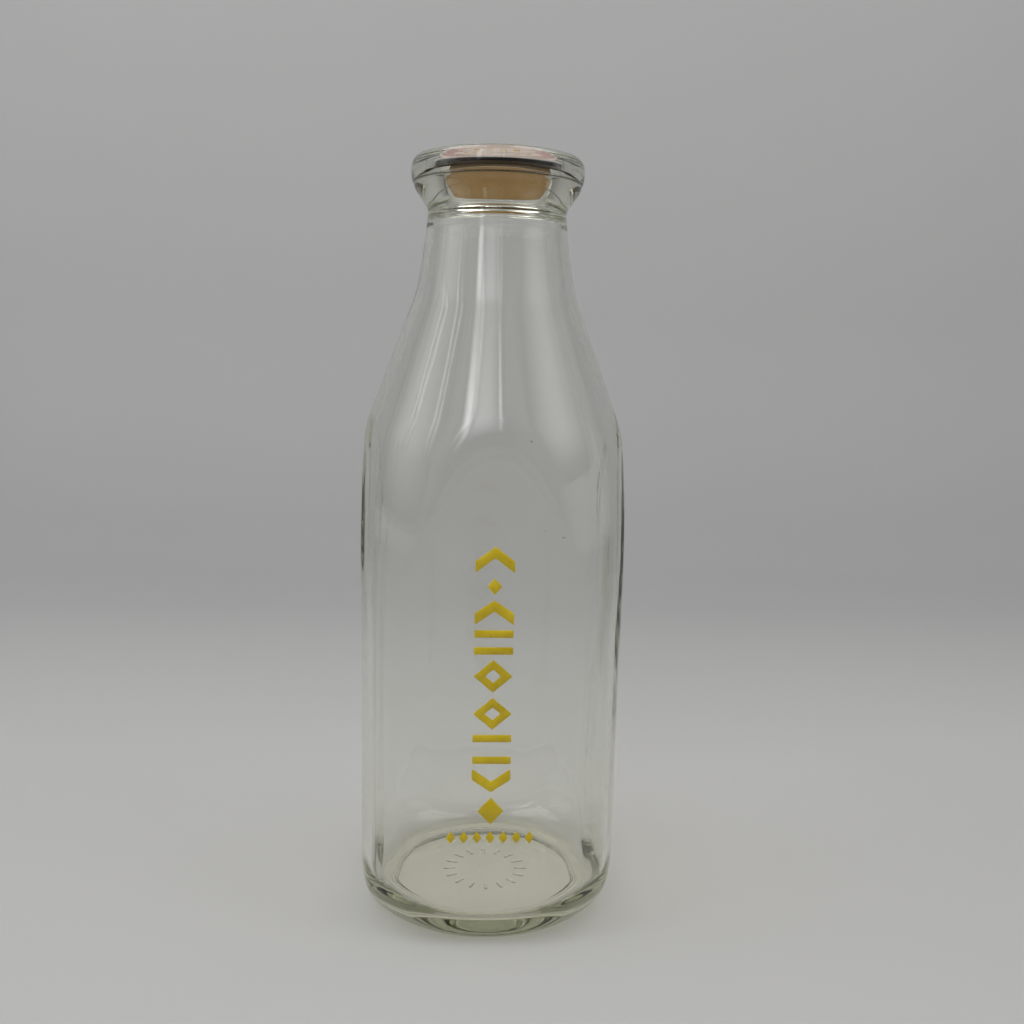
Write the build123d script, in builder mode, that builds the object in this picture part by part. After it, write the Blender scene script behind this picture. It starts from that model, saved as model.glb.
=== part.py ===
from build123d import *
import os

# A square glass milk bottle with a pull-tab board cap in its mouth. Millimetres, +Z up.
# The origin is the centre of the ring that the bottle stands on, and the enamelled panel
# faces -Y. The glass is one round surface cut by four flat panels, inside and out.

# Outside of the glass
HEIGHT = 253.3
PANEL_HALF_WIDTH = 43.0
CORNER_R = 50.5
CREASE_FILLET = 6.0

# Heel, and the ring that the bottle stands on, with a small step inside it up to the push-up
RING_OUTER_R = 36.0
RING_INNER_R = 32.0
STEP_WIDTH = 0.8
STEP_HEIGHT = 1.0
HEEL_HEIGHT = 28.0
PUSH_UP = 2.5

# Side of the round surface, from the straight body up to the neck. Turns are in degrees.
STRAIGHT_TOP = 97.0
WAIST_R = 345.0
WAIST_TURN = 10.0
SHOULDER_R = 70.0
SHOULDER_TURN = 10.9
CONE_LENGTH = 37.5
HOLLOW_R = 50.0
HOLLOW_TURN = 9.6
NECK_R = 186.0
NECK_TURN = 6.9

# Mouth: a lower bead, the parting line and a square-shouldered upper bead
FLARE_R = 4.5
FLARE_TURN = 39.4
FLARE_LENGTH = 5.1
LOWER_BEAD_R = 5.0
LOWER_BEAD_TURN = 32.0
PARTING_STEP = 0.4
PARTING_Z = 245.0
BEAD_R = 28.5
BEAD_MIDDLE_Z = 248.2
BEAD_SHOULDER_R = 28.25
BEAD_SHOULDER_Z = 250.6
BEAD_TOP_R = 25.4
LIP_ROUND = 1.0

# Inside of the glass
WALL = 2.8
INNER_CREASE_FILLET = 12.0
FLOOR_Z = 6.5
FLOOR_R = 35.0
INNER_HEEL_TOP = 22.0
INNER_NECK_TURN = 5.45

# Inside of the mouth: a bore that tapers downwards, and above it the seat and ledge of the
# cap, with a sloped lead-in up to the lip
BORE_BOTTOM_R = 15.9
BORE_BOTTOM_Z = 236.5
BORE_ROUND = 0.5
BORE_TOP_R = 18.1
LEDGE_Z = 248.0
SEAT_R = 20.95
SEAT_TOP_Z = 249.6
MOUTH_R = 22.75

# Board cap: two plies, and a tab that folds up along its root in the upper ply
CAP_R = 20.64
PLY = 0.7
LEDGE_GAP = 0.05
TAB_WIDTH = 13.0
TAB_LENGTH = 20.0
TAB_ROOT_Y = 7.0
TAB_GAP = 0.3
HINGE_GAP = 0.05

# Fired enamel: a column of plain shapes from the top down, as (shape, height), and a row
# of small marks under it
ENAMEL = 0.15
COLUMN_WIDTH = 12.2
COLUMN_TOP = 132.0
COLUMN_GAP = 1.7
STROKE = 2.4
COLUMN = [
    ("chevron_up", 8.2),
    ("diamond", 5.2),
    ("chevron_up", 7.8),
    ("bars", 7.8),
    ("lozenge", 10.6),
    ("lozenge", 10.4),
    ("bars", 9.6),
    ("chevron_down", 7.8),
    ("diamond", 9.2),
]
MARK_COUNT = 7
MARK_PITCH = 4.2
MARK_WIDTH = 3.0
MARK_HEIGHT = 4.2
MARK_Z = 37.4


# Profiles are drawn on a diagonal plane, so the seam of each round surface runs down a corner
# and never crosses a panel
corner_plane = Plane(origin=(0, 0, 0), x_dir=(1, 1, 0), z_dir=(1, -1, 0))


def wall_side(inset, start_z, neck_turn):
    """Draw the side of the round surface, moved in by inset, and return its last arc."""
    body = Line((CORNER_R - inset, start_z), (CORNER_R - inset, STRAIGHT_TOP))
    waist = JernArc(body @ 1, body % 1, WAIST_R - inset, WAIST_TURN)
    shoulder = JernArc(waist @ 1, waist % 1, SHOULDER_R - inset, SHOULDER_TURN)
    cone = Line(shoulder @ 1, shoulder @ 1 + CONE_LENGTH * (shoulder % 1))
    hollow = JernArc(cone @ 1, cone % 1, HOLLOW_R + inset, -HOLLOW_TURN)
    return JernArc(hollow @ 1, hollow % 1, NECK_R + inset, -neck_turn)


def panel_creases(solid):
    """Return the edges where the four upright flats meet the round surface."""
    upright = [face for face in solid.faces().filter_by(GeomType.PLANE) if abs(face.normal_at().Z) < 0.5]
    return [edge for face in upright for edge in face.edges()]


def kite(width, height, mode=Mode.ADD):
    """Draw a diamond about the current location."""
    Polygon((width / 2, 0), (0, height / 2), (-width / 2, 0), (0, -height / 2), mode=mode)


def chevron(height, way):
    """Draw a band with a point in its middle: up where way is 1, down where it is -1."""
    side = COLUMN_WIDTH / 2
    band = 1.5 * STROKE
    outer = [(-side, band - height / 2), (0, height / 2), (side, band - height / 2)]
    inner = [(side, -height / 2), (0, height / 2 - band), (-side, -height / 2)]
    Polygon(*[(x, way * z) for x, z in outer + inner], align=None)


def enamel_shape(shape, height):
    """Draw one shape of the column about the current location."""
    if shape == "diamond":
        kite(0.9 * height, height)
    elif shape == "lozenge":
        kite(COLUMN_WIDTH, height)
        kite(COLUMN_WIDTH - 3.0 * STROKE, height - 2.6 * STROKE, mode=Mode.SUBTRACT)
    elif shape == "bars":
        with GridLocations(0, height - STROKE, 1, 2):
            Rectangle(COLUMN_WIDTH, STROKE)
    else:
        chevron(height, 1 if shape == "chevron_up" else -1)


# The space inside the glass: the hollow, the bore and the seat that the cap sits in
with BuildPart() as cavity:
    with BuildSketch(corner_plane):
        with BuildLine():
            floor = Line((0, FLOOR_Z), (FLOOR_R, FLOOR_Z))
            heel = EllipticalCenterArc(
                (FLOOR_R, INNER_HEEL_TOP),
                CORNER_R - WALL - FLOOR_R,
                INNER_HEEL_TOP - FLOOR_Z,
                -90,
                arc_size=90,
            )
            neck = wall_side(WALL, INNER_HEEL_TOP, INNER_NECK_TURN)
            bore_bottom = (BORE_BOTTOM_R, BORE_BOTTOM_Z)
            choke = Spline(neck @ 1, bore_bottom, tangents=[neck % 1, (-1, 0)])
            Polyline(choke @ 1, (BORE_TOP_R, LEDGE_Z), (0, LEDGE_Z), floor @ 0)
        make_face()
    revolve(axis=Axis.Z)
    with BuildSketch():
        Rectangle(2 * (PANEL_HALF_WIDTH - WALL), 2 * (PANEL_HALF_WIDTH - WALL))
    extrude(amount=HEIGHT, mode=Mode.INTERSECT)
    fillet(panel_creases(cavity), INNER_CREASE_FILLET)
    bore_edge = cavity.edges().filter_by(GeomType.CIRCLE).filter_by(
        lambda edge: abs(edge.radius - BORE_BOTTOM_R) < 0.01
    )
    fillet(bore_edge, BORE_ROUND)
    with BuildSketch(corner_plane):
        with BuildLine():
            seat = Polyline((0, LEDGE_Z), (SEAT_R, LEDGE_Z), (SEAT_R, SEAT_TOP_Z))
            Polyline(seat @ 1, (MOUTH_R, HEIGHT), (0, HEIGHT), seat @ 0)
        make_face()
    revolve(axis=Axis.Z)

with BuildPart() as glass_bottle:
    with BuildSketch(corner_plane):
        with BuildLine():
            step_top = (RING_INNER_R - STEP_WIDTH, STEP_HEIGHT)
            push_up = TangentArc((0, PUSH_UP), step_top, tangent=(1, 0))
            Polyline(step_top, (RING_INNER_R, 0), (RING_OUTER_R, 0))
            heel = EllipticalCenterArc(
                (RING_OUTER_R, HEEL_HEIGHT), CORNER_R - RING_OUTER_R, HEEL_HEIGHT, -90, arc_size=90
            )
            neck = wall_side(0, HEEL_HEIGHT, NECK_TURN)
            flare = JernArc(neck @ 1, neck % 1, FLARE_R, -FLARE_TURN)
            slope = Line(flare @ 1, flare @ 1 + FLARE_LENGTH * (flare % 1))
            lower_bead = JernArc(slope @ 1, slope % 1, LOWER_BEAD_R, LOWER_BEAD_TURN)
            parting = Line(lower_bead @ 1, ((lower_bead @ 1).X + PARTING_STEP, PARTING_Z))
            upper_bead = ThreePointArc(
                parting @ 1, (BEAD_R, BEAD_MIDDLE_Z), (BEAD_SHOULDER_R, BEAD_SHOULDER_Z)
            )
            crown = TangentArc(upper_bead @ 1, (BEAD_TOP_R, HEIGHT), tangent=upper_bead % 1)
            Polyline(crown @ 1, (0, HEIGHT), push_up @ 0)
        make_face()
    revolve(axis=Axis.Z)
    with BuildSketch():
        Rectangle(2 * PANEL_HALF_WIDTH, 2 * PANEL_HALF_WIDTH)
    extrude(amount=HEIGHT, mode=Mode.INTERSECT)
    fillet(panel_creases(glass_bottle), CREASE_FILLET)
    add(cavity.part, mode=Mode.SUBTRACT)
    mouth_edge = glass_bottle.edges().filter_by(GeomType.CIRCLE).filter_by(
        lambda edge: abs(edge.radius - MOUTH_R) < 0.01
    )
    fillet(mouth_edge, LIP_ROUND)
glass_bottle.part.label = "glass_bottle"

# Board cap: the lower ply is a plain disc
cap_bottom = LEDGE_Z + LEDGE_GAP
with BuildPart() as cap_lower_ply:
    with BuildSketch(Plane.XY.offset(cap_bottom)):
        Circle(CAP_R)
    extrude(amount=PLY)
cap_lower_ply.part.label = "cap_lower_ply"


def tab_outline(gap):
    """Draw the tab, square at its root and round at its free end, grown by gap."""
    half = TAB_WIDTH / 2 + gap
    tip = TAB_ROOT_Y - TAB_LENGTH - gap
    root = Line((half, TAB_ROOT_Y), (-half, TAB_ROOT_Y))
    left = Line(root @ 1, (-half, tip + half))
    nose = ThreePointArc(left @ 1, (0, tip), (half, tip + half))
    Line(nose @ 1, root @ 0)


# The upper ply has the opening that the tab is cut from
with BuildPart() as cap_upper_ply:
    with BuildSketch(Plane.XY.offset(cap_bottom + PLY)):
        Circle(CAP_R)
        with BuildLine():
            tab_outline(TAB_GAP)
        make_face(mode=Mode.SUBTRACT)
    extrude(amount=PLY)
cap_upper_ply.part.label = "cap_upper_ply"

# The tab turns about the top edge of its root, a hair clear of the upper ply
with BuildPart() as cap_pull_tab:
    with BuildSketch(Plane.XY.offset(cap_bottom + PLY)):
        with BuildLine():
            tab_outline(0)
        make_face()
        with Locations((0, TAB_ROOT_Y)):
            Rectangle(2 * TAB_WIDTH, 2 * HINGE_GAP, mode=Mode.SUBTRACT)
    extrude(amount=PLY)
cap_pull_tab.part.label = "cap_pull_tab"

# The front panel seen from outside: +X to the right, +Z up, and the enamel stands out from it
panel = Plane.XZ.offset(PANEL_HALF_WIDTH)

with BuildPart() as enamel_column:
    with BuildSketch(panel):
        shape_top = COLUMN_TOP
        for shape, height in COLUMN:
            with Locations((0, shape_top - height / 2)):
                enamel_shape(shape, height)
            shape_top -= height + COLUMN_GAP
    extrude(amount=ENAMEL)
enamel_column.part.label = "enamel_column"

with BuildPart() as enamel_caption:
    with BuildSketch(panel):
        with Locations((0, MARK_Z)):
            with GridLocations(MARK_PITCH, 0, MARK_COUNT, 1):
                kite(MARK_WIDTH, MARK_HEIGHT)
    extrude(amount=ENAMEL)
enamel_caption.part.label = "enamel_caption"

PARTS = [glass_bottle, enamel_column, enamel_caption, cap_lower_ply, cap_upper_ply, cap_pull_tab]

os.makedirs("parts", exist_ok=True)
for piece in PARTS:
    export_step(piece.part, f"parts/{piece.part.label}.step")
print(f"hollow: {cavity.part.volume / 1000:.1f} ml, glass: {glass_bottle.part.volume / 1000:.1f} ml")
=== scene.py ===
import math

import bmesh
import bpy
import numpy as np
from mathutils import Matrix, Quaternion, Vector
from mathutils.geometry import delaunay_2d_cdt


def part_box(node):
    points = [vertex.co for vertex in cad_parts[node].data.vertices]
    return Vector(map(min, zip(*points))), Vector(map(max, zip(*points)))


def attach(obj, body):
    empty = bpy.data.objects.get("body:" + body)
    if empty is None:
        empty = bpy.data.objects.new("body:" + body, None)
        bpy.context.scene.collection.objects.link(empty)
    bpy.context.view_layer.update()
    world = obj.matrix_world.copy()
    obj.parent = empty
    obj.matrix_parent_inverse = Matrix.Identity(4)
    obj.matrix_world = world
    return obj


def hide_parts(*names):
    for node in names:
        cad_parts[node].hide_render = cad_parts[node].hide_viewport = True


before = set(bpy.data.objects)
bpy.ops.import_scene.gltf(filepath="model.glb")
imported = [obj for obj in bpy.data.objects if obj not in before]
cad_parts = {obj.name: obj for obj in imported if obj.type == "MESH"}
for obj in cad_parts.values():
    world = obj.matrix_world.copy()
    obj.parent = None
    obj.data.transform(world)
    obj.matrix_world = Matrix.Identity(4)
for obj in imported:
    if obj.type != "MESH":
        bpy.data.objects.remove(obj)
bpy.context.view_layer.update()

# Lengths are in millimetres up to where a mesh is made, and MM turns them into metres.
MM = 0.001

# The glass, as in the CAD model: one round surface cut by four flat panels, inside and out
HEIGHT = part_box("glass_bottle")[1].z / MM
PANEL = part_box("glass_bottle")[1].x / MM
WALL = 2.8
INNER_PANEL = PANEL - WALL
CORNER_R = 50.5
RING_OUTER_R = 36.0
RING_INNER_R = 32.0
HEEL_HEIGHT = 28.0
PUSH_UP = 2.5
STEP_WIDTH = 0.8
STEP_HEIGHT = 1.0
STRAIGHT_TOP = 97.0
# The side above the straight body turns in over two arcs, runs straight, and turns back over two more
SHOULDER_R, SHOULDER_TURN = 345.0, 10.0
UPPER_SHOULDER_R, UPPER_SHOULDER_TURN = 70.0, 10.9
CONE_LENGTH = 37.5
NECK_FOOT_R, NECK_FOOT_TURN = 50.0, -9.6
NECK_R, NECK_TURN = 186.0, -6.9
# The mouth bead flares out from the neck, runs up straight, and turns back
FLARE_R, FLARE_TURN = 4.5, -39.4
FLARE_LENGTH = 5.1
BEAD_FOOT_R, BEAD_FOOT_TURN = 5.0, 32.0
FLOOR_Z = 6.5
FLOOR_R = 35.0
INNER_HEEL_TOP = 22.0
SEAT_R = 20.95
LEDGE_Z = 248.0
BORE_TOP_R = 18.1
BORE_BOTTOM_R = 15.9
BORE_BOTTOM_Z = 236.5
SEAT_TOP_Z = 249.6
PARTING_Z = 245.0

# How far a crease between a panel and the round surface is rounded off, measured radially
OUTER_CREASE = (5.0, 0.9)
INNER_CREASE = (5.0, 2.2)

# The fine dark line of painted shade lies just under the step of the parting line
SHADE_LINE_Z = PARTING_Z - 0.08
# The throat's top edge is rounded over this height
BORE_EDGE = 0.2
# The inner heel is part of an ellipse: where it ends, in degrees, and how far in its centre is
INNER_HEEL_END = 70
INNER_HEEL_IN = 4.8

# The number of points round the axis in the glass's mesh
AROUND = 256


# ---------------------------------------------------------------- profile of the glass

class Pen:
    """Walks along a profile and keeps its points as (radius, height).

    Its heading is measured from straight up, and a positive turn bends towards the axis.
    """

    def __init__(self, r, z, heading=0.0):
        self.points = [(r, z)]
        self.heading = math.radians(heading)

    def line(self, length, step):
        r, z = self.points[-1]
        count = max(1, round(abs(length) / step))
        for i in range(1, count + 1):
            along = length * i / count
            self.points.append((r - along * math.sin(self.heading), z + along * math.cos(self.heading)))

    def arc(self, radius, turn, step):
        r, z = self.points[-1]
        start = self.heading
        total = math.radians(turn)
        way = math.copysign(1.0, total)
        count = max(2, round(abs(total) * radius / step))
        for i in range(1, count + 1):
            now = start + total * i / count
            self.points.append((
                r + way * radius * (math.cos(now) - math.cos(start)),
                z + way * radius * (math.sin(now) - math.sin(start)),
            ))
        self.heading = start + total


def ellipse(centre_r, centre_z, half_r, half_z, start, end, count):
    """Points of an elliptical arc, with angles in degrees from the outward direction."""
    angles = np.radians(np.linspace(start, end, count))
    return [(centre_r + half_r * math.cos(a), centre_z + half_z * math.sin(a)) for a in angles]


def smooth(points, count):
    """Points along a smooth curve through a few control points (Catmull-Rom)."""
    p = [np.array(q, float) for q in points]
    p = [2 * p[0] - p[1]] + p + [2 * p[-1] - p[-2]]
    out = []
    for i in range(1, len(p) - 2):
        for t in np.linspace(0, 1, count, endpoint=False):
            out.append(0.5 * (
                2 * p[i] + (p[i + 1] - p[i - 1]) * t
                + (2 * p[i - 1] - 5 * p[i] + 4 * p[i + 1] - p[i + 2]) * t * t
                + (3 * p[i] - p[i - 1] - 3 * p[i + 1] + p[i + 2]) * t ** 3
            ))
    return [tuple(q) for q in out] + [tuple(p[-2])]


def side(inset, start_z):
    """The side of the round surface from start_z up to the neck, moved in by inset."""
    pen = Pen(CORNER_R - inset, start_z)
    pen.line(STRAIGHT_TOP - start_z, 2.5)
    pen.arc(SHOULDER_R - inset, SHOULDER_TURN, 1.6)
    pen.arc(UPPER_SHOULDER_R - inset, UPPER_SHOULDER_TURN, 1.0)
    pen.line(CONE_LENGTH, 1.6)
    pen.arc(NECK_FOOT_R + inset, NECK_FOOT_TURN, 0.9)
    pen.arc(NECK_R + inset, NECK_TURN, 1.2)
    return pen


def outer_profile():
    """From under the middle of the base out to the heel, up the side and over the mouth to the seat."""
    step_r = RING_INNER_R - STEP_WIDTH
    fall = PUSH_UP - STEP_HEIGHT
    push_up = [(r, PUSH_UP - fall * (r / step_r) ** 2) for r in np.linspace(0.4, step_r - 0.4, 60)]
    step = [(step_r, STEP_HEIGHT - 0.08), (RING_INNER_R - 0.3, 0.30), (RING_INNER_R + 0.15, 0.02)]
    ring = smooth([push_up[-1]] + step + [(33.5, 0.0), (RING_OUTER_R - 0.6, 0.03)], 6)[1:]
    heel = ellipse(RING_OUTER_R, HEEL_HEIGHT, CORNER_R - RING_OUTER_R, HEEL_HEIGHT, -88, 0, 40)
    pen = side(0.0, HEEL_HEIGHT)
    pen.arc(FLARE_R, FLARE_TURN, 0.35)
    pen.line(FLARE_LENGTH, 0.6)
    pen.arc(BEAD_FOOT_R, BEAD_FOOT_TURN, 0.35)
    bead_r = pen.points[-1][0]
    # The parting line is a fine sharp step between the two halves of the mouth's mould.
    parting = [
        (bead_r + 0.10, PARTING_Z - 0.30),
        (bead_r - 0.14, PARTING_Z - 0.04),
        (bead_r + 0.32, PARTING_Z + 0.08),
    ]
    upper = smooth([(bead_r + 0.44, PARTING_Z + 0.18), (28.32, 246.4), (28.5, 248.2), (28.3, 250.4)], 8)
    over = [(27.95, 251.5), (27.2, 252.5), (26.1, 253.1), (24.7, HEIGHT), (23.6, 253.0)]
    crown = smooth([upper[-1]] + over, 8)[1:]
    lip = smooth([crown[-1], (22.75, 252.5), (22.1, 252.0), (21.6, 251.0), (SEAT_R, SEAT_TOP_Z)], 8)[1:]
    return push_up + ring + heel + pen.points[1:] + parting + upper + crown + lip


def inner_profile():
    """From the seat down over the ledge, the throat and the hollow to the middle of the floor."""
    seat = [(SEAT_R, z) for z in np.linspace(SEAT_TOP_Z - 0.25, LEDGE_Z + 0.4, 4)]
    corner = [(SEAT_R - 0.04, LEDGE_Z + 0.2), (SEAT_R - 0.15, LEDGE_Z + 0.05), (SEAT_R - 0.4, LEDGE_Z)]
    ledge = [(r, LEDGE_Z) for r in np.linspace(SEAT_R - 0.8, BORE_TOP_R + 0.22, 5)]
    bore_top_z = LEDGE_Z - BORE_EDGE
    edge = smooth([ledge[-1], (BORE_TOP_R + 0.06, LEDGE_Z - 0.04), (BORE_TOP_R, bore_top_z)], 5)[1:]
    bore = [
        (BORE_TOP_R + (BORE_BOTTOM_R - BORE_TOP_R) * t, bore_top_z + (BORE_BOTTOM_Z - bore_top_z) * t)
        for t in np.linspace(0.06, 1, 14)
    ]
    rise = [p for p in side(WALL, INNER_HEEL_TOP).points if p[1] < 230.0]
    under_bore = [(20.8, 232.4), (19.4, 234.8), (17.2, 236.3)]
    flare = smooth([rise[-2], rise[-1]] + under_bore + [bore[-1], bore[-2]], 6)[6:-6]
    throat = bore[:-1] + flare[::-1]
    # The plunger left a faint corner where the floor meets the heel.
    deep = (INNER_HEEL_TOP - FLOOR_Z) / math.sin(math.radians(INNER_HEEL_END))
    centre_r = FLOOR_R - INNER_HEEL_IN
    wide = CORNER_R - WALL - FLOOR_R + INNER_HEEL_IN
    heel = ellipse(centre_r, INNER_HEEL_TOP, wide, deep, 0, -INNER_HEEL_END, 44)
    corner_r = heel[-1][0]
    floor = [(corner_r - t, FLOOR_Z) for t in (0.15, 0.4, 0.8)]
    floor += [(r, FLOOR_Z + 0.5 * math.exp(-(r / 15.0) ** 2)) for r in np.linspace(corner_r - 1.6, 0.4, 26)]
    return seat + corner + ledge + edge + throat + rise[::-1][1:] + heel[1:] + floor


def across(r, panel, crease, angle):
    """Distance from the axis at this angle, where panels cut the round surface of radius r."""
    flat = panel / np.maximum(np.abs(np.cos(angle)), np.abs(np.sin(angle)))
    near = np.clip(crease - np.abs(r - flat), 0, None) / crease
    return np.minimum(r, flat) - near * near * crease / 4


def fade(x, start, end):
    """0 before start, 1 after end, and a smooth step between."""
    t = np.clip((x - start) / (end - start), 0, 1)
    return t * t * (3 - 2 * t)


def softer_below(crease, z):
    """The width of a panel's rounded edge at this height: soft on the body, crisper on the shoulder."""
    return crease[0] + (crease[1] - crease[0]) * float(fade(z, 85, 140))


def blown_ripple(angle, z):
    """How far the blown inner surface wanders, in mm: long waves, and finer ones drawn out along the neck."""
    long_waves = (
        0.10 * np.sin(2 * angle + 0.021 * z + 0.7) + 0.07 * np.sin(3 * angle - 0.045 * z + 2.1)
        + 0.05 * np.sin(5 * angle + 0.060 * z + 4.0) + 0.05 * np.sin(0.085 * z + 1.3)
    )
    draw_lines = (
        0.010 * np.sin(17 * angle + 0.015 * z + 0.4) + 0.007 * np.sin(29 * angle - 0.01 * z + 1.9)
        + 0.005 * np.sin(43 * angle + 0.02 * z + 3.3)
    )
    return (long_waves + draw_lines * fade(z, 90, 170)) * fade(z, 12, 40) * (1 - fade(z, 224, 230))


def mould_ripple(angle, z):
    """How far the outer surface wanders from the mould's shape, in mm."""
    waves = 0.016 * np.sin(7 * angle + 0.11 * z + 0.2) + 0.012 * np.sin(4 * angle - 0.17 * z + 1.1)
    return (waves + 0.010 * np.sin(11 * angle + 0.05 * z)) * fade(z, 20, 45) * (1 - fade(z, 236, 246))


def mould_seam(angle, z):
    """The fine raised line that the two halves of the mould leave down two opposite corners."""
    off = np.abs(np.mod(angle - math.pi / 4 + math.pi / 2, math.pi) - math.pi / 2)
    arc_length = off * 48.0
    return 0.10 * np.exp(-(arc_length / 0.35) ** 2) * fade(z, 6, 14) * (1 - fade(z, 226, 236))


def grid_mesh(name, rings, materials):
    """A closed mesh from rings of points, from the middle of one end to the middle of the other."""
    count = rings.shape[1]
    first = np.array([[0, 0, rings[0, :, 2].mean()]])
    last = np.array([[0, 0, rings[-1, :, 2].mean()]])
    points = np.concatenate([first, rings.reshape(-1, 3), last]) * MM
    faces = []
    for i in range(len(rings) - 1):
        low = 1 + i * count
        for j in range(count):
            k = (j + 1) % count
            faces.append((low + j, low + k, low + count + k, low + count + j))
    end = len(points) - 1
    for j in range(count):
        k = (j + 1) % count
        faces.append((0, 1 + k, 1 + j))
        faces.append((end, end - count + j, end - count + k))
    return new_object(name, points, faces, materials)


def new_object(name, points, faces, materials, smooth_shading=True):
    mesh = bpy.data.meshes.new(name)
    mesh.from_pydata([tuple(p) for p in points], [], faces)
    mesh.validate()
    for material in materials:
        mesh.materials.append(material)
    mesh.polygons.foreach_set("use_smooth", [smooth_shading] * len(mesh.polygons))
    mesh.update()
    piece = bpy.data.objects.new(name, mesh)
    bpy.context.scene.collection.objects.link(piece)
    return piece


def left_normals(loop):
    """Unit normals to the left of a closed outline at its points."""
    along = np.roll(loop, -1, 0) - np.roll(loop, 1, 0)
    along /= np.linalg.norm(along, axis=1, keepdims=True)
    return np.stack([-along[:, 1], along[:, 0]], 1)


def inside(points, loops):
    """Whether each point lies in the plan, by counting the outlines' crossings to its right."""
    crossings = np.zeros(len(points), int)
    for loop in loops:
        for (x0, y0), (x1, y1) in zip(loop, np.roll(loop, -1, 0)):
            spans = (points[:, 1] < y0) != (points[:, 1] < y1)
            if spans.any():
                at = x0 + (points[:, 1] - y0) * (x1 - x0) / (y1 - y0 if y1 != y0 else 1)
                crossings += spans & (points[:, 0] < at)
    return crossings % 2 == 1


def far_from_edge(points, loops, reach):
    edge = np.concatenate(loops)
    return np.array([np.min(np.hypot(*(edge - p).T)) > reach for p in points], bool)


def sheet(name, loops, low, high, edge, grid, place, materials):
    """A flat solid with rounded edges, from its plan's outlines: the material is on the left of each.

    low and high are its two faces' heights, edge is the size of the rounding, grid the spacing of
    the points inside the plan (0 for none), and place maps (u, v, height) to a point in 3-D.
    """
    inner = [loop + edge * left_normals(loop) for loop in loops]
    plan = np.concatenate(inner)
    edges = []
    start = 0
    for loop in inner:
        count = len(loop)
        edges += [(start + i, start + (i + 1) % count) for i in range(count)]
        start += count
    if grid:
        least, most = plan.min(0), plan.max(0)
        across_u = np.arange(least[0], most[0], grid)
        across_v = np.arange(least[1], most[1], grid)
        lattice = [(u, v + (0.5 * grid if i % 2 else 0)) for i, u in enumerate(across_u) for v in across_v]
        lattice = np.array(lattice)
        lattice = lattice[inside(lattice, inner)]
        lattice = lattice[far_from_edge(lattice, inner, 0.45 * grid)]
        plan = np.concatenate([plan, lattice])
    made = delaunay_2d_cdt([Vector(p) for p in plan], edges, [], 0, 1e-7)
    assert len(made[0]) == len(plan), name
    order = [group[0] for group in made[3]]
    middles = np.array([np.mean([made[0][i] for i in face], 0) for face in made[2]])
    faces = [tuple(order[i] for i in face) for face, keep in zip(made[2], inside(middles, inner)) if keep]

    count = len(plan)
    outer = np.concatenate(loops)
    rim = len(outer)
    points = [place(u, v, high) for u, v in plan] + [place(u, v, low) for u, v in plan]
    points += [place(u, v, high - edge) for u, v in outer] + [place(u, v, low + edge) for u, v in outer]
    all_faces = [tuple(f) for f in faces] + [tuple(count + i for i in reversed(f)) for f in faces]
    for a, b in edges:
        top, upper, lower, bottom = 0, 2 * count, 2 * count + rim, count
        all_faces.append((top + b, top + a, upper + a, upper + b))
        all_faces.append((upper + b, upper + a, lower + a, lower + b))
        all_faces.append((lower + b, lower + a, bottom + a, bottom + b))
    return new_object(name, np.array(points) * MM, all_faces, materials)


def ring_outline(radius, count, rough):
    """A circle's outline with a slightly rough die-cut edge."""
    angle = np.linspace(0, 2 * math.pi, count, endpoint=False)
    wander = np.sin(23 * angle + 1.0) + 0.7 * np.sin(41 * angle + 2.2) + 0.5 * np.sin(67 * angle)
    r = radius + rough * wander
    return np.stack([r * np.cos(angle), r * np.sin(angle)], 1)


# The raised ribs under the base: how many there are, and the radii that each runs between
RIB_COUNT = 16
RIB_FROM, RIB_TO = 11.0, 14.6
RIB_HALF_WIDTH = 0.45
RIB_HEIGHT = 0.28


def base_ribs(x, y):
    """Height of the short plain ribs that stand evenly round a circle under the base, in mm."""
    radius = np.hypot(x, y)
    pitch = 2 * math.pi / RIB_COUNT
    off = radius * np.abs(np.mod(np.arctan2(y, x) + pitch / 2, pitch) - pitch / 2)
    beside = 1 - fade(off, 0.6 * RIB_HALF_WIDTH, 1.4 * RIB_HALF_WIDTH)
    along = fade(radius, RIB_FROM - 0.4, RIB_FROM + 0.4) * (1 - fade(radius, RIB_TO - 0.4, RIB_TO + 0.4))
    return RIB_HEIGHT * beside * along


def make_glass(material):
    angle = np.linspace(0, 2 * math.pi, AROUND, endpoint=False)
    rings = []
    for r, z in outer_profile():
        across_r = across(r, PANEL, softer_below(OUTER_CREASE, z), angle)
        across_r = across_r + mould_ripple(angle, z) + mould_seam(angle, z)
        x = across_r * np.cos(angle)
        y = across_r * np.sin(angle)
        height = np.full(AROUND, z)
        if r < RING_INNER_R - 2 and z < PUSH_UP + 0.1:
            height = height - base_ribs(x, y)
        rings.append(np.stack([x, y, height], 1))
    for r, z in inner_profile():
        across_r = across(r, INNER_PANEL, softer_below(INNER_CREASE, z), angle) + blown_ripple(angle, z)
        rings.append(np.stack([across_r * np.cos(angle), across_r * np.sin(angle), np.full(AROUND, z)], 1))
    return grid_mesh("glass_bottle_visual", np.array(rings), [material])


# ---------------------------------------------------------------- node materials

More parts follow.
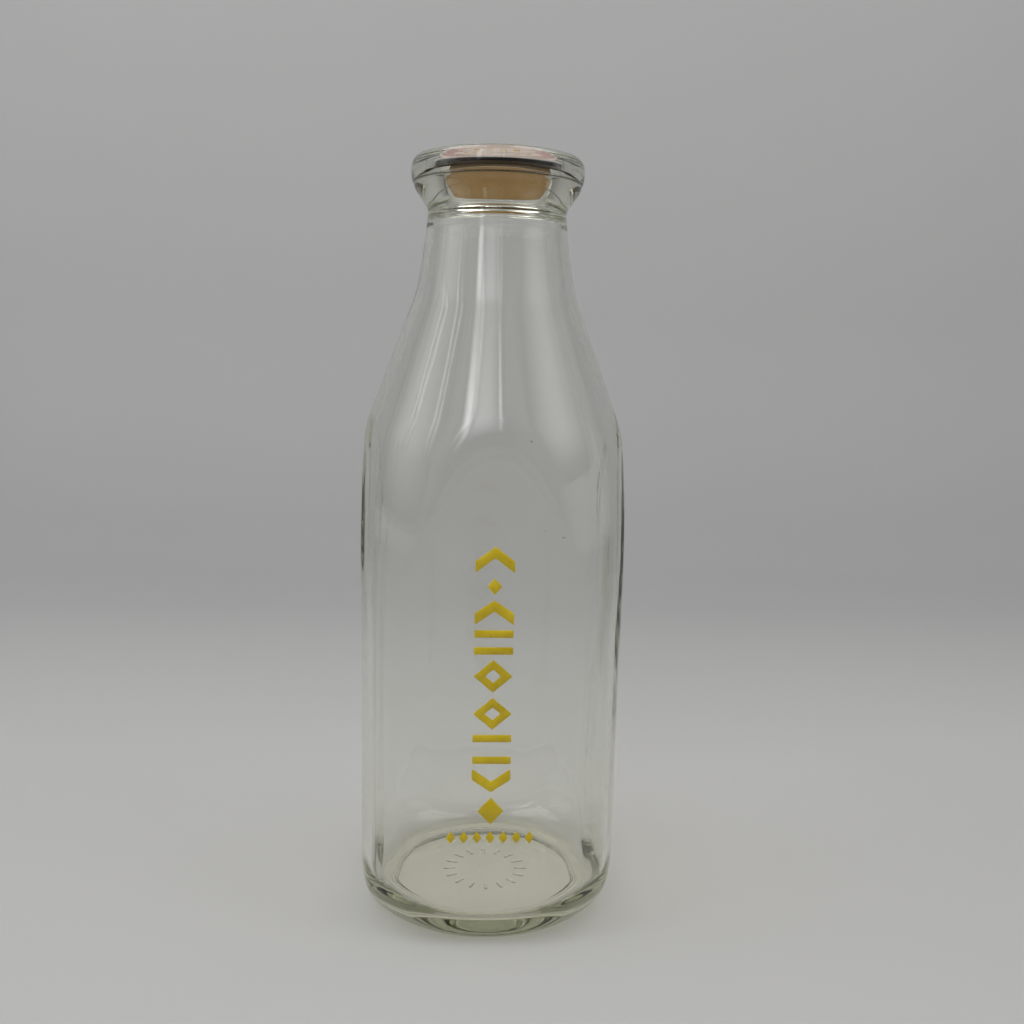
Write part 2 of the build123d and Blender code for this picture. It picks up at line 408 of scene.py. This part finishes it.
class Nodes:
    """A short way to build a node tree."""

    def __init__(self, name):
        self.material = bpy.data.materials.new(name)
        self.material.use_nodes = True
        self.tree = self.material.node_tree
        self.tree.nodes.clear()
        self.output = self.add("ShaderNodeOutputMaterial")

    def add(self, kind, **settings):
        node = self.tree.nodes.new(kind)
        for key, value in settings.items():
            setattr(node, key, value)
        return node

    def link(self, source, target):
        self.tree.links.new(source, target)

    def principled(self, **values):
        node = self.add("ShaderNodeBsdfPrincipled")
        for key, value in values.items():
            node.inputs[key.replace("_", " ")].default_value = value
        return node

    def place(self):
        """The point in the object's own coordinates, in metres."""
        return self.add("ShaderNodeTexCoord").outputs["Object"]

    def noise(self, scale, detail=2.0, stretch=(1, 1, 1), roughness=0.5):
        mapping = self.add("ShaderNodeMapping")
        mapping.inputs["Scale"].default_value = stretch
        self.link(self.place(), mapping.inputs["Vector"])
        node = self.add("ShaderNodeTexNoise")
        node.inputs["Scale"].default_value = scale
        node.inputs["Detail"].default_value = detail
        node.inputs["Roughness"].default_value = roughness
        self.link(mapping.outputs[0], node.inputs["Vector"])
        return node.outputs["Fac"]

    def ramp(self, source, stops):
        """Map a value to colours, with stops as (position, colour)."""
        node = self.add("ShaderNodeValToRGB")
        elements = node.color_ramp.elements
        while len(elements) < len(stops):
            elements.new(0.5)
        for element, (position, colour) in zip(elements, stops):
            element.position = position
            element.color = (*colour, 1)
        self.link(source, node.inputs["Fac"])
        return node.outputs["Color"]

    def span(self, source, low, high, to_low, to_high):
        node = self.add("ShaderNodeMapRange")
        for name, value in (("From Min", low), ("From Max", high), ("To Min", to_low), ("To Max", to_high)):
            node.inputs[name].default_value = value
        self.link(source, node.inputs["Value"])
        return node.outputs["Result"]

    def maths(self, operation, a, b=None):
        node = self.add("ShaderNodeMath", operation=operation)
        for socket, value in zip(node.inputs, (a, b)):
            if value is None:
                continue
            if isinstance(value, (int, float)):
                socket.default_value = value
            else:
                self.link(value, socket)
        return node.outputs[0]

    def mix(self, factor, a, b, blend="MIX"):
        node = self.add("ShaderNodeMix", data_type="RGBA", blend_type=blend)
        for socket, value in ((node.inputs[0], factor), (node.inputs[6], a), (node.inputs[7], b)):
            if isinstance(value, (int, float)):
                socket.default_value = value
            elif isinstance(value, tuple):
                socket.default_value = (*value, 1)
            else:
                self.link(value, socket)
        return node.outputs[2]

    def bump(self, height, distance, strength):
        node = self.add("ShaderNodeBump")
        node.inputs["Distance"].default_value = distance
        node.inputs["Strength"].default_value = strength
        self.link(height, node.inputs["Height"])
        return node.outputs["Normal"]

    def finish(self, shader):
        self.link(shader, self.output.inputs["Surface"])
        return self.material


GLASS_TINT = (0.985, 0.985, 0.975)
# The colour of a painted dark line of shade in the glass
PAINTED_SHADE_LINE = (0.01, 0.008, 0.006)
SPECK = (0.10, 0.10, 0.10)
BODY_TINT = (0.80, 0.81, 0.70, 1)
BODY_DENSITY = 42.0
# The share of the lamps' light that passes each wall of the glass, and the thick heel
LAMP_SHARE = (0.945, 0.935, 0.905)
HEEL_SHARE = (0.50, 0.50, 0.47)


def from_axis(n):
    """The distance from the bottle's axis, in metres, and the node that splits the point into X, Y and Z."""
    place = n.add("ShaderNodeSeparateXYZ")
    n.link(n.place(), place.inputs[0])
    squares = [n.maths("MULTIPLY", place.outputs[axis], place.outputs[axis]) for axis in ("X", "Y")]
    return n.maths("SQRT", n.maths("ADD", *squares)), place


def worn_ring(n):
    """How rough the glass is: scuffed where the bottle stands and slides, and clear elsewhere."""
    radius, place = from_axis(n)
    inside = n.span(radius, (RING_INNER_R - 0.3) * MM, (RING_INNER_R + 0.3) * MM, 0.0, 1.0)
    outside = n.span(radius, (RING_OUTER_R + 0.8) * MM, (RING_OUTER_R + 0.2) * MM, 0.0, 1.0)
    low = n.span(place.outputs["Z"], 0.6 * MM, 0.3 * MM, 0.0, 1.0)
    scuffs = n.span(n.noise(900.0, 4.0), 0.35, 0.65, 0.45, 0.70)
    return n.maths("MULTIPLY", n.maths("MULTIPLY", inside, outside), n.maths("MULTIPLY", low, scuffs))


def glass_material():
    """Clear soda-lime glass, faintly tinted. Light from the lamps passes through it to what is behind."""
    n = Nodes("clear_bottle_glass")
    shader = n.principled(Roughness=0.0, IOR=1.52, Transmission_Weight=1.0)
    radius, place = from_axis(n)
    # A fine dark line of painted shade, just under the parting line's step, darkens the glass's colour
    off = n.maths("ABSOLUTE", n.maths("SUBTRACT", place.outputs["Z"], SHADE_LINE_Z * MM))
    on_bead = n.span(radius, 27.0 * MM, 27.4 * MM, 0.0, 1.0)
    line = n.maths("MULTIPLY", n.span(off, 0.20 * MM, 0.12 * MM, 0.0, 0.95), on_bead)
    tint_and_shade_line = n.mix(line, GLASS_TINT, PAINTED_SHADE_LINE)
    seeds = n.add("ShaderNodeTexVoronoi")
    seeds.inputs["Scale"].default_value = 62.0
    n.link(n.place(), seeds.inputs["Vector"])
    speck = n.span(seeds.outputs["Distance"], 0.022, 0.012, 0.0, 0.8)
    n.link(n.mix(speck, tint_and_shade_line, SPECK), shader.inputs["Base Color"])
    skin = n.noise(240.0, 3.0, (1, 1, 0.6))
    n.link(n.bump(skin, 0.00002, 0.6), shader.inputs["Normal"])
    n.link(worn_ring(n), shader.inputs["Roughness"])
    clear = n.add("ShaderNodeBsdfTransparent")
    low = n.span(place.outputs["Z"], 22 * MM, 6 * MM, 0.0, 1.0)
    heel = n.maths("MULTIPLY", low, n.span(radius, 36 * MM, 40 * MM, 0.0, 1.0))
    n.link(n.mix(heel, LAMP_SHARE, HEEL_SHARE), clear.inputs["Color"])
    choose = n.add("ShaderNodeMixShader")
    n.link(n.add("ShaderNodeLightPath").outputs["Is Shadow Ray"], choose.inputs[0])
    n.link(shader.outputs[0], choose.inputs[1])
    n.link(clear.outputs[0], choose.inputs[2])
    body = n.add("ShaderNodeVolumeAbsorption")
    body.inputs["Color"].default_value = BODY_TINT
    body.inputs["Density"].default_value = BODY_DENSITY
    n.link(body.outputs[0], n.output.inputs["Volume"])
    return n.finish(choose.outputs[0])


ENAMEL_THIN = (0.62, 0.450, 0.006)
ENAMEL_THICK = (0.80, 0.590, 0.010)
PINHOLE = (0.40, 0.27, 0.010)


def enamel_material():
    """Yellow enamel fired onto glass: thin spots, fine pinholes and a slightly eggshell gloss."""
    n = Nodes("fired_yellow_enamel")
    cloud = n.noise(130.0, 4.0)
    grain = n.noise(1500.0, 3.0)
    colour = n.ramp(cloud, [(0.30, ENAMEL_THIN), (0.70, ENAMEL_THICK)])
    colour = n.mix(n.span(grain, 0.62, 0.74, 0.0, 0.5), colour, PINHOLE)
    shader = n.principled(IOR=1.5, Roughness=0.35)
    n.link(colour, shader.inputs["Base Color"])
    n.link(n.span(cloud, 0.3, 0.7, 0.26, 0.44), shader.inputs["Roughness"])
    n.link(n.bump(grain, 0.00003, 0.5), shader.inputs["Normal"])
    return n.finish(shader.outputs[0])


def board(n, sheet_colour, fleck_colour):
    """Waxed paperboard: fibres, flecks and a soft uneven gloss.

    It returns the shader, whose colour isn't linked yet, and that colour.
    """
    fibre = n.noise(900.0, 5.0, (1, 2.4, 1), 0.65)
    cloud = n.noise(110.0, 3.0)
    colour = n.mix(n.span(fibre, 0.38, 0.70, 0.0, 1.0), sheet_colour, fleck_colour)
    colour = n.mix(n.span(cloud, 0.40, 0.75, 0.0, 0.45), colour, tuple(0.72 * c for c in sheet_colour))
    shader = n.principled(IOR=1.45, Roughness=0.5, Specular_IOR_Level=0.15)
    n.link(n.span(cloud, 0.3, 0.7, 0.42, 0.65), shader.inputs["Roughness"])
    n.link(n.bump(fibre, 0.00012, 0.6), shader.inputs["Normal"])
    return shader, colour


def dirty_and_shaded_rim(n, colour, radius, reach, rim_dirt_and_shade):
    """Darken the die-cut rim: milk and grime soaked into the layers, and painted shade for the tight gap
    between the cap's edge and the glass seat.
    """
    rim = n.span(radius, (SEAT_R - reach) * MM, (SEAT_R - 0.2) * MM, 0.0, 1.0)
    return n.mix(rim, colour, rim_dirt_and_shade)


BROWN_SHEET = (0.78, 0.45, 0.115)
BROWN_FLECK = (0.58, 0.31, 0.075)
# The colour of painted shade where the cap rests on the glass ledge
LEDGE_SHADE = (0.03, 0.017, 0.008)
# The brown rim's colour is grime and painted shade of the gap against the glass seat
BROWN_RIM = (0.060, 0.040, 0.018)


def raw_board_material():
    n = Nodes("waxed_brown_board")
    shader, colour = board(n, BROWN_SHEET, BROWN_FLECK)
    radius, _ = from_axis(n)
    # Painted shade where the cap's underside rests on the glass ledge, which little light reaches
    pressed = n.span(radius, (BORE_TOP_R - 0.1) * MM, (BORE_TOP_R + 0.3) * MM, 0.0, 0.6)
    colour = n.mix(pressed, colour, LEDGE_SHADE)
    n.link(dirty_and_shaded_rim(n, colour, radius, 1.3, BROWN_RIM), shader.inputs["Base Color"])
    return n.finish(shader.outputs[0])


WHITE_SHEET = (0.66, 0.58, 0.53)
WHITE_FLECK = (0.54, 0.45, 0.39)
# The printed rim's near-black colour is grime and painted shade of the gap against the glass seat
WHITE_RIM = (0.005, 0.002, 0.001)
RED = (0.21, 0.007, 0.005)
OCHRE = (0.45, 0.27, 0.05)
GREY = (0.20, 0.19, 0.18)
# The printed rings' radii: the red ring's two edges, and the middles of the dashes and the grey ring
RED_RING = (17.2, 19.8)
DASH_RING = 15.4
GREY_RING = 13.9


def printed_board_material():
    """Off-white board with a red ring, a thin grey ring and a broken ring of ochre dashes printed on it."""
    n = Nodes("waxed_printed_board")
    shader, colour = board(n, WHITE_SHEET, WHITE_FLECK)
    radius, place = from_axis(n)
    edge_noise = n.maths("MULTIPLY", n.maths("SUBTRACT", n.noise(1300.0, 2.0), 0.5), 0.0005)
    uneven = n.maths("ADD", radius, edge_noise)

    def ring(middle, half):
        off = n.maths("ABSOLUTE", n.maths("SUBTRACT", uneven, middle * MM))
        return n.span(off, (half + 0.08) * MM, (half - 0.08) * MM, 0.0, 1.0)

    around = n.maths("ARCTAN2", place.outputs["Y"], place.outputs["X"])
    dashes = n.span(n.maths("SINE", n.maths("MULTIPLY", around, 24.0)), -0.1, 0.1, 0.0, 1.0)
    wear = n.span(n.noise(420.0, 4.0), 0.36, 0.60, 0.85, 1.0)
    low, high = RED_RING
    sides = n.span(n.maths("ABSOLUTE", n.maths("SINE", around)), 0.35, 0.90, 1.0, 0.30)
    red = n.maths("MULTIPLY", n.maths("MULTIPLY", ring((low + high) / 2, (high - low) / 2), wear), sides)
    ochre = n.maths("MULTIPLY", n.maths("MULTIPLY", ring(DASH_RING, 0.45), dashes), wear)
    grey = n.maths("MULTIPLY", ring(GREY_RING, 0.18), wear)
    colour = n.mix(red, colour, RED)
    colour = n.mix(ochre, colour, OCHRE)
    colour = n.mix(grey, colour, GREY)
    n.link(dirty_and_shaded_rim(n, colour, radius, 0.75, WHITE_RIM), shader.inputs["Base Color"])
    return n.finish(shader.outputs[0])


# ---------------------------------------------------------------- pieces

glass = make_glass(glass_material())
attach(glass, "bottle")
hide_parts("glass_bottle")


def front_outlines(node):
    """The outlines of a CAD node's front faces as (x, z) loops in mm, with the face on the left of each."""
    solid = bmesh.new()
    solid.from_mesh(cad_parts[node].data)
    bmesh.ops.remove_doubles(solid, verts=solid.verts, dist=0.00001)
    solid.normal_update()
    after = {}
    for face in solid.faces:
        if face.normal.y > -0.9:
            continue
        for loop in face.loops:
            others = [other for other in loop.edge.link_faces if other is not face and other.normal.y < -0.9]
            if not others:
                after[loop.vert.index] = loop.link_loop_next.vert.index
    places = [(vert.co.x / MM, vert.co.z / MM) for vert in solid.verts]
    solid.free()
    outlines = []
    while after:
        start, step = after.popitem()
        loop = [places[start]]
        while step != start:
            loop.append(places[step])
            step = after.pop(step)
        outlines.append(np.array(loop))
    return outlines


def softened(loop, radius, step, rough):
    """An outline with its corners rounded and its edges a little uneven, as a screen print has them."""
    points = []
    for i, corner in enumerate(loop):
        back, ahead = loop[i - 1] - corner, loop[(i + 1) % len(loop)] - corner
        a = corner + back / np.linalg.norm(back) * min(radius, 0.4 * np.linalg.norm(back))
        b = corner + ahead / np.linalg.norm(ahead) * min(radius, 0.4 * np.linalg.norm(ahead))
        points += [(1 - t) ** 2 * a + 2 * t * (1 - t) * corner + t * t * b for t in np.linspace(0, 1, 5)]
    out = []
    for p, q in zip(points, points[1:] + points[:1]):
        count = max(1, int(np.linalg.norm(q - p) / step))
        out += [p + (q - p) * k / count for k in range(count)]
    out = np.array(out)
    x, z = out.T
    wander = np.sin(3.1 * x + 1.7 * z) + 0.6 * np.sin(7.3 * z - 4.9 * x + 1.0)
    wander = wander + 0.4 * np.sin(13.7 * x + 11.9 * z)
    return out + rough * wander[:, None] * left_normals(out)


ENAMEL_DEPTH = 0.07


def make_enamel(node, material):
    """The fired print on the front panel, sunk a little into the glass so that no air lies under it."""
    loops = [softened(loop, 0.45, 0.7, 0.035) for loop in front_outlines(node)]
    front = -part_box(node)[0].y / MM
    piece = sheet(
        node + "_print", loops, PANEL - ENAMEL_DEPTH, front, 0.06, 0,
        lambda x, z, height: (x, -height, z), [material],
    )
    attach(piece, "bottle")
    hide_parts(node)


enamel = enamel_material()
make_enamel("enamel_column", enamel)
make_enamel("enamel_caption", enamel)

# The cap's discs are pressed against the glass, so they reach a hair past the seat and the ledge
PRESSED = 0.03
PLY_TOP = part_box("cap_upper_ply")[1].z / MM
PLY_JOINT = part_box("cap_upper_ply")[0].z / MM
TAB_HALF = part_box("cap_pull_tab")[1].x / MM
TAB_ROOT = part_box("cap_pull_tab")[1].y / MM
TAB_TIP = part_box("cap_pull_tab")[0].y / MM
TAB_GAP = 0.22
# The lower ply touches the glass up to the first of these distances to the side, and is clear past the second
TOUCHING = (12.5, 15.0)
SWELL = 0.10
CURL = 0.55


def tab_outline(gap, root_gap):
    """The tab's outline, square at its root and round at its free end, grown by gap."""
    half = TAB_HALF + gap
    straight_end = TAB_TIP + TAB_HALF
    root = TAB_ROOT + root_gap
    sides = np.linspace(root - 0.5, straight_end + 0.5, 20)
    left = [(-half, y) for y in sides]
    nose = [(-half * math.cos(a), straight_end - half * math.sin(a)) for a in np.linspace(0, math.pi, 44)]
    right = [(half, y) for y in sides[::-1]]
    back = [(x, root) for x in np.linspace(half - 0.25, 0.25 - half, 14)]
    return np.array(left + nose + right + back)


def seated(x, y, height):
    """The lower ply sits tight at its front and back, and has warped clear of the glass at its sides."""
    clear = float(fade(abs(x), *TOUCHING)) * 2.2 * PRESSED
    pull = 1 - clear * fade(math.hypot(x, y), 19.0, 20.5) / SEAT_R
    lift = clear if height < LEDGE_Z + 0.2 and math.hypot(x, y) > BORE_TOP_R - 0.3 else 0.0
    return (x * pull, y * pull, height + lift)


def cupped(x, y, height):
    """The upper ply has swelled a little, and stands proud round the tab's free end."""
    near_tip = math.exp(-((x / 7.0) ** 2) - ((y - TAB_TIP) / 5.0) ** 2)
    return (x, y, height + SWELL * near_tip * (height > PLY_JOINT + 0.2))


def lifted(x, y, height):
    """The tab's free end has been picked at, so it curls up a little from its root."""
    t = (TAB_ROOT - y) / (TAB_ROOT - TAB_TIP)
    return (x, y, height + CURL * max(0.0, t - 0.35) ** 2 + 0.004 * x * x * t)


raw_board = raw_board_material()
printed_board = printed_board_material()

lower_ply = sheet(
    "cap_lower_ply_board", [ring_outline(SEAT_R + PRESSED, 180, 0.008)],
    LEDGE_Z - PRESSED, PLY_JOINT, 0.12, 1.3, seated, [raw_board],
)
upper_ply = sheet(
    "cap_upper_ply_board",
    [ring_outline(SEAT_R - 0.10, 180, 0.02), tab_outline(TAB_GAP, TAB_GAP)[::-1]],
    PLY_JOINT - 0.02, PLY_TOP, 0.14, 1.1, cupped, [printed_board],
)
pull_tab = sheet(
    "cap_pull_tab_board", [tab_outline(0.0, 0.0)],
    PLY_JOINT + 0.04, PLY_TOP, 0.14, 0.9, lifted, [printed_board],
)
for piece, body, node, slot in (
    (lower_ply, "cap", "cap_lower_ply", "raw_board"),
    (upper_ply, "cap", "cap_upper_ply", "printed_board"),
    (pull_tab, "tab", "cap_pull_tab", "printed_board"),
):
    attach(piece, body)
    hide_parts(node)


# ---------------------------------------------------------------- stage, light and camera

# The floor's and wall's tones are painted light and shade
FLOOR_NEAR = (0.575, 0.573, 0.564)
FLOOR_FAR = (0.450, 0.450, 0.450)
COVE_WALL = (0.600, 0.600, 0.600)
CLOUDS = (0.97, 0.97, 0.97)


def cove_paper():
    """Matt studio paper with painted light and shade: the floor is paler near the bottle and darker towards
    the foot of the wall, which is paler again.
    """
    n = Nodes("pale_cove")
    shader = n.principled(Roughness=0.9, IOR=1.4)
    radius, place = from_axis(n)
    beside = n.span(radius, 80 * MM, 300 * MM, 0.0, 0.2)
    away = n.maths("MAXIMUM", n.span(place.outputs["Y"], 70 * MM, 400 * MM, 0.0, 1.0), beside)
    up = n.span(place.outputs["Z"], 30 * MM, 250 * MM, 0.0, 1.0)
    colour = n.mix(up, n.mix(away, FLOOR_NEAR, FLOOR_FAR), COVE_WALL)
    cloud = n.noise(6.0, 3.0)
    n.link(n.mix(cloud, colour, n.mix(1.0, colour, CLOUDS, "MULTIPLY")), shader.inputs["Base Color"])
    return n.finish(shader.outputs[0])


def make_cove():
    """A pale floor that curves up into a plain wall far behind the bottle. Its sizes are in metres."""
    half = 2.4
    curve_start, radius, wall_top = 0.50, 0.25, 2.2
    line = [(-2.2, 0.0), (-1.0, 0.0), (curve_start, 0.0)]
    for a in np.radians(np.arange(6, 91, 6)):
        line.append((curve_start + radius * math.sin(a), radius * (1 - math.cos(a))))
    line += [(curve_start + radius, 1.0), (curve_start + radius, wall_top)]
    points = [(x, y, z) for y, z in line for x in (-half, half)]
    faces = [(2 * i, 2 * i + 1, 2 * i + 3, 2 * i + 2) for i in range(len(line) - 1)]
    return new_object("cove", points, faces, [cove_paper()])


make_cove()


LIGHT_TARGET = Vector((0, 0, 0.15))


def aim(thing, azimuth, elevation, distance):
    """Place a light or a card round the bottle. Azimuth 0 is the front, and it grows towards +X."""
    a, e = math.radians(azimuth), math.radians(elevation)
    out = Vector((math.sin(a) * math.cos(e), -math.cos(a) * math.cos(e), math.sin(e)))
    thing.location = LIGHT_TARGET + distance * out
    thing.rotation_euler = (LIGHT_TARGET - thing.location).to_track_quat("-Z", "Y").to_euler()
    thing.visible_camera = False


def panel_light(name, azimuth, elevation, distance, size, power):
    """A soft rectangular light."""
    data = bpy.data.lights.new(name, "AREA")
    data.shape = "RECTANGLE"
    data.size, data.size_y = size
    data.energy = power
    light = bpy.data.objects.new(name, data)
    bpy.context.scene.collection.objects.link(light)
    aim(light, azimuth, elevation, distance)


def soft_card(name, azimuth, elevation, distance, size, glow):
    """A glowing card whose light fades to nothing at its edges, so its reflection has no hard edge."""
    n = Nodes(name)
    place = n.add("ShaderNodeSeparateXYZ")
    n.link(n.add("ShaderNodeTexCoord").outputs["Generated"], place.inputs[0])
    shares = []
    for axis in ("X", "Y"):
        from_middle = n.maths("ABSOLUTE", n.maths("SUBTRACT", place.outputs[axis], 0.5))
        shares.append(n.span(from_middle, 0.5, 0.1, 0.0, 1.0))
    emission = n.add("ShaderNodeEmission")
    n.link(n.maths("MULTIPLY", n.maths("MULTIPLY", shares[0], shares[1]), glow), emission.inputs["Strength"])
    # The card shows in reflections alone: light that comes straight through the glass passes it by
    path = n.add("ShaderNodeLightPath")
    no_reflection = n.maths("LESS_THAN", path.outputs["Glossy Depth"], 0.5)
    straight = n.maths("MULTIPLY", path.outputs["Is Transmission Ray"], no_reflection)
    seen = n.add("ShaderNodeMixShader")
    n.link(straight, seen.inputs[0])
    n.link(emission.outputs[0], seen.inputs[1])
    n.link(n.add("ShaderNodeBsdfTransparent").outputs[0], seen.inputs[2])
    material = n.finish(seen.outputs[0])
    half_x, half_y = size[0] / 2, size[1] / 2
    points = [(-half_x, -half_y, 0), (half_x, -half_y, 0), (half_x, half_y, 0), (-half_x, half_y, 0)]
    card = new_object(name, points, [(3, 2, 1, 0)], [material], smooth_shading=False)
    aim(card, azimuth, elevation, distance)
    card.visible_shadow = False


soft_card("strip_left", -27, 34, 0.9, (0.15, 0.68), 4.4)
soft_card("strip_middle", 5, 35, 0.9, (0.07, 0.56), 2.6)
soft_card("strip_between", -12, 34, 1.0, (0.62, 0.66), 1.9)
soft_card("strip_far_left", -60, 34, 0.9, (0.06, 0.70), 3.0)
soft_card("strip_side", -84, 34, 0.9, (0.06, 0.70), 3.0)
panel_light("soft_top_left", -85, 62, 1.3, (0.7, 0.9), 4.7)
panel_light("soft_top_right", 85, 62, 1.3, (0.7, 0.9), 3.6)
soft_card("soft_right", 66, 30, 1.2, (1.2, 1.0), 1.3)
soft_card("soft_left", -82, 24, 1.2, (1.3, 1.1), 1.3)

# The room is darker behind the camera than above and beside the bottle
DARK_SIDE, LIGHT_SIDE = -0.95, -0.45
DARK_ROOM, LIGHT_ROOM = 0.11, 0.52

world = bpy.data.worlds.new("studio")
world.use_nodes = True
world_nodes = world.node_tree.nodes
world_links = world.node_tree.links
background = world_nodes["Background"]
background.inputs["Color"].default_value = (1.0, 1.0, 1.0, 1)
direction = world_nodes.new("ShaderNodeSeparateXYZ")
world_links.new(world_nodes.new("ShaderNodeTexCoord").outputs["Generated"], direction.inputs[0])
darker = world_nodes.new("ShaderNodeMapRange")
darker.inputs["From Min"].default_value = DARK_SIDE
darker.inputs["From Max"].default_value = LIGHT_SIDE
darker.inputs["To Min"].default_value = DARK_ROOM
darker.inputs["To Max"].default_value = LIGHT_ROOM
world_links.new(direction.outputs["Y"], darker.inputs["Value"])
world_links.new(darker.outputs["Result"], background.inputs["Strength"])
bpy.context.scene.world = world
bpy.context.scene.view_settings.view_transform = "Standard"

# The camera stands 350 mm in front of the bottle, a little to its left, and looks slightly down.
CAMERA_DISTANCE = 0.350
CAMERA_HEIGHT = 0.191
CAMERA_SIDE = -2.0
CAMERA_PAN = 1.16
CAMERA_PITCH = -8.92
CAMERA_ROLL = 1.30

camera_data = bpy.data.cameras.new("camera")
camera_data.sensor_width = 36.0
camera_data.lens = 36.0
camera_data.clip_start = 0.01
camera = bpy.data.objects.new("camera", camera_data)
bpy.context.scene.collection.objects.link(camera)
side_angle = math.radians(CAMERA_SIDE)
camera.location = (
    CAMERA_DISTANCE * math.sin(side_angle), -CAMERA_DISTANCE * math.cos(side_angle), CAMERA_HEIGHT
)
heading = math.radians(-CAMERA_SIDE + CAMERA_PAN)
pitch = math.radians(CAMERA_PITCH)
forward = Vector((math.sin(heading) * math.cos(pitch), math.cos(heading) * math.cos(pitch), math.sin(pitch)))
camera.rotation_mode = "QUATERNION"
level = forward.to_track_quat("-Z", "Y")
camera.rotation_quaternion = level @ Quaternion((0, 0, 1), math.radians(CAMERA_ROLL))
bpy.context.scene.camera = camera

# Light is reflected many times inside the thick glass, and each path that is cut short leaves a black spot
GLASS_BOUNCES = 48
cycles = bpy.context.scene.cycles
cycles.max_bounces = GLASS_BOUNCES
cycles.transmission_bounces = GLASS_BOUNCES
cycles.glossy_bounces = GLASS_BOUNCES
cycles.transparent_max_bounces = GLASS_BOUNCES
cycles.diffuse_bounces = 8
